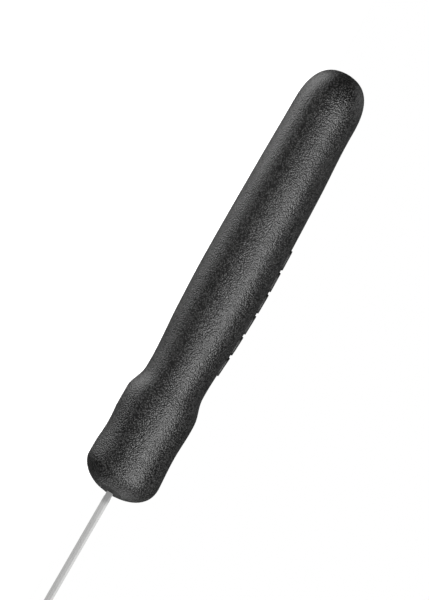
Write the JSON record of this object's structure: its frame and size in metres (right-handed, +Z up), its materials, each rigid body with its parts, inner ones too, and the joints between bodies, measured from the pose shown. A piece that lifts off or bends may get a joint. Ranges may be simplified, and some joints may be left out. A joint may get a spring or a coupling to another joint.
{
  "type": "knife sharpening steel",
  "caption": "Slim flat knife sharpening steel: a thin steel bar with a rounded tip, moulded by its tang into a flared black handle with a soft grained grip.",
  "frame": {"origin": "under the middle of the tool's length and width, at the level of the flank it lies on", "axes": "+X along the steel to its tip, +Z up, square to the steel's broad faces, +Y across the steel's width"},
  "size_m": [0.3336, 0.031, 0.0219],
  "materials": {
    "steel": "fine ground, with shallow lengthwise grooves on the broad faces",
    "core_plastic": "smooth satin moulding",
    "grip_rubber": "fine moulded grain, dull"
  },
  "bodies": {
    "root": {"steel_bar": "steel", "handle_core": "core_plastic", "grip": "grip_rubber"}
  },
  "joints": []
}
